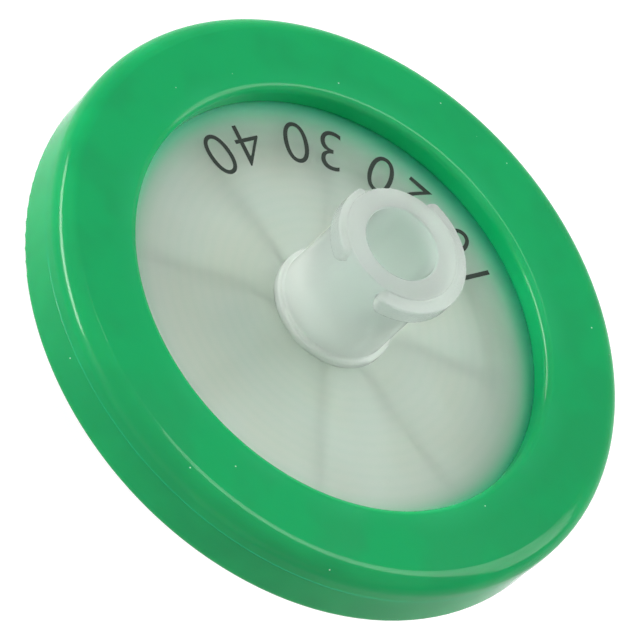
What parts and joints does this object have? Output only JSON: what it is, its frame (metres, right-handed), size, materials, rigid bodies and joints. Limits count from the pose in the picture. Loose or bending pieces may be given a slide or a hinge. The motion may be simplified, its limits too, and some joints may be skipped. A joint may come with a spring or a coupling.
{
  "type": "syringe filter",
  "caption": "Disposable disc filter: clear round housing in a coloured overmoulded ring, female lock socket on top and tapered male outlet below, with a sealed membrane inside.",
  "frame": {"origin": "centre of the outlet tip's end, the lowest point of the filter", "axes": "+Z along the axis of symmetry, from the outlet tip to the inlet socket; +X and +Y lie in the disc, the socket's locking lugs standing mostly over +X and -X"},
  "size_m": [0.034, 0.034, 0.021],
  "materials": {
    "clear_housing": "natural translucent polypropylene, gloss",
    "membrane": "white porous film, matt",
    "green_ring": "green polypropylene, gloss"
  },
  "bodies": {
    "root": {"inlet_housing": "clear_housing", "outlet_housing": "clear_housing", "membrane": "membrane", "overmould_ring": "green_ring"}
  },
  "joints": []
}
